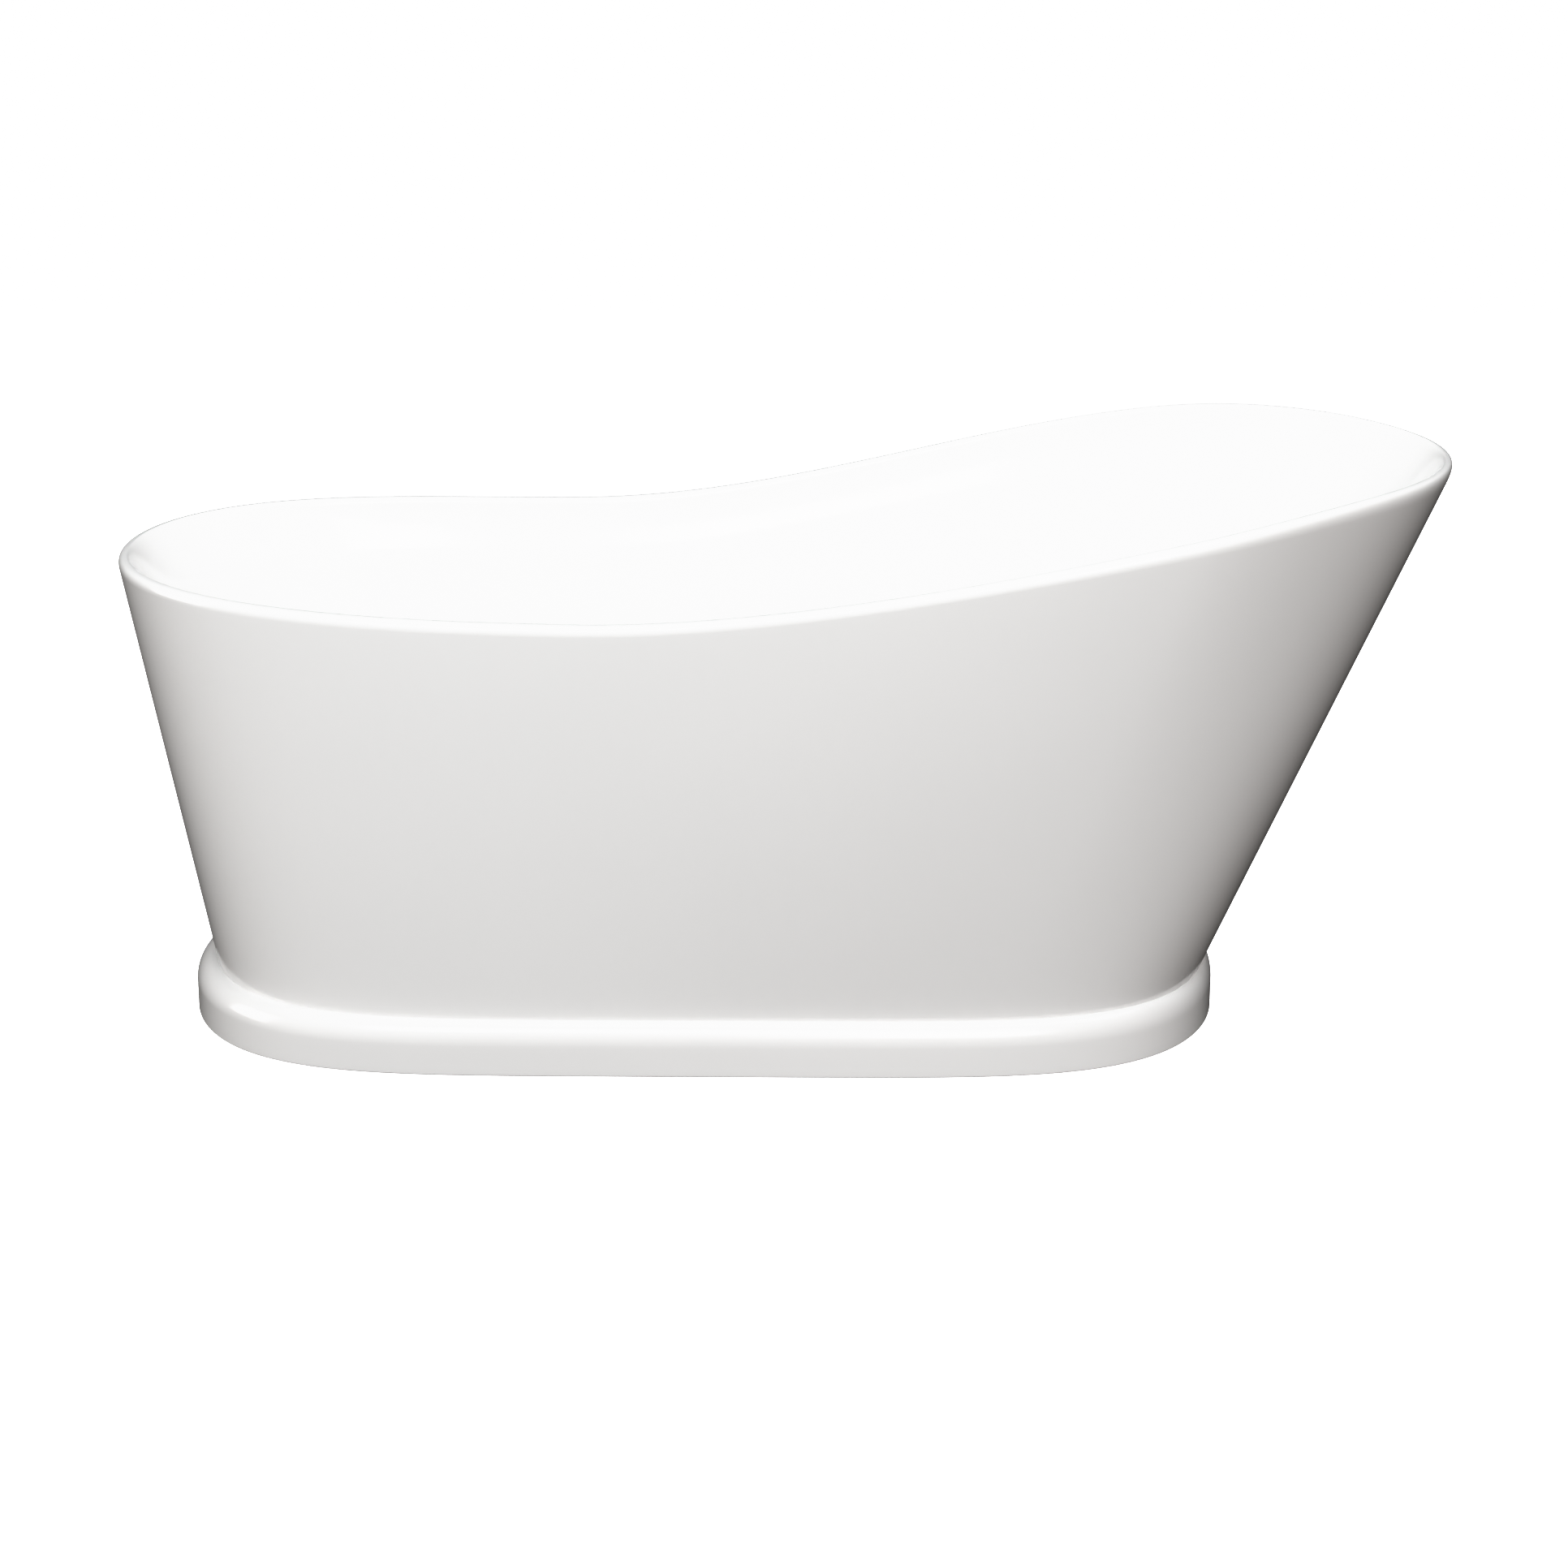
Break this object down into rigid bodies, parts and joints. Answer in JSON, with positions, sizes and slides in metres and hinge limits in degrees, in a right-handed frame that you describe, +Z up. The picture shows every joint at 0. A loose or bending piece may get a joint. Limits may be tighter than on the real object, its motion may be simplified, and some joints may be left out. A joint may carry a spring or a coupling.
{
  "type": "bathtub",
  "caption": "Freestanding single-slipper bathtub: acrylic basin with rolled rim, straight flared skirt, rounded plinth, hidden frame on levelling feet, push-to-open waste and overflow.",
  "frame": {"origin": "on the floor, under the middle of the rim's length and width", "axes": "+X along the tub from the drain end to the backrest, +Y across, +Z up"},
  "size_m": [1.7, 0.7194, 0.744],
  "materials": {
    "acrylic": "high gloss white",
    "plywood": "sanded plywood, sealed edges",
    "timber": "sawn softwood",
    "galvanised_steel": "galvanised",
    "zinc_steel": "zinc plated",
    "chrome": "polished",
    "brass": "turned",
    "rubber": "matt",
    "waste_plastic": "satin",
    "pad_plastic": "matt"
  },
  "bodies": {
    "tub": {"tub_shell": "acrylic", "outer_skirt": "acrylic", "plinth": "acrylic", "base_board": "plywood", "frame_rail_front": "galvanised_steel", "frame_rail_back": "galvanised_steel", "bearer_drain": "galvanised_steel", "bearer_middle": "galvanised_steel", "bearer_head": "galvanised_steel", "board_screws": "zinc_steel", "foot_nuts": "zinc_steel", "plinth_blocks": "timber", "skirt_brackets": "galvanised_steel", "bracket_screws": "zinc_steel", "drain_flange": "chrome", "plug_cartridge": "brass", "drain_gasket": "rubber", "waste_shoe": "waste_plastic", "waste_tube": "waste_plastic", "waste_tee": "waste_plastic", "tailpiece": "waste_plastic", "slip_nuts": "waste_plastic", "overflow_elbow": "waste_plastic", "overflow_tube": "waste_plastic", "overflow_gasket": "rubber", "overflow_sleeve": "chrome", "overflow_cover": "chrome"},
    "plug": {"plug_cap": "chrome", "plug_seal": "rubber", "plug_stem": "brass"},
    "foot_1": {"foot_pad_1": "pad_plastic", "foot_stud_1": "zinc_steel"},
    "foot_2": {"foot_pad_2": "pad_plastic", "foot_stud_2": "zinc_steel"},
    "foot_3": {"foot_pad_3": "pad_plastic", "foot_stud_3": "zinc_steel"},
    "foot_4": {"foot_pad_4": "pad_plastic", "foot_stud_4": "zinc_steel"}
  },
  "joints": [
    {"name": "plug_slide", "type": "slide", "parent": "tub", "child": "plug", "axis": [0, 0, 1], "range_m": [0, 0.008]},
    {"name": "foot_1_slide", "type": "slide", "parent": "tub", "child": "foot_1", "axis": [0, 0, 1], "range_m": [-0.015, 0.012]},
    {"name": "foot_2_slide", "type": "slide", "parent": "tub", "child": "foot_2", "axis": [0, 0, 1], "range_m": [-0.015, 0.012]},
    {"name": "foot_3_slide", "type": "slide", "parent": "tub", "child": "foot_3", "axis": [0, 0, 1], "range_m": [-0.015, 0.012]},
    {"name": "foot_4_slide", "type": "slide", "parent": "tub", "child": "foot_4", "axis": [0, 0, 1], "range_m": [-0.015, 0.012]}
  ]
}
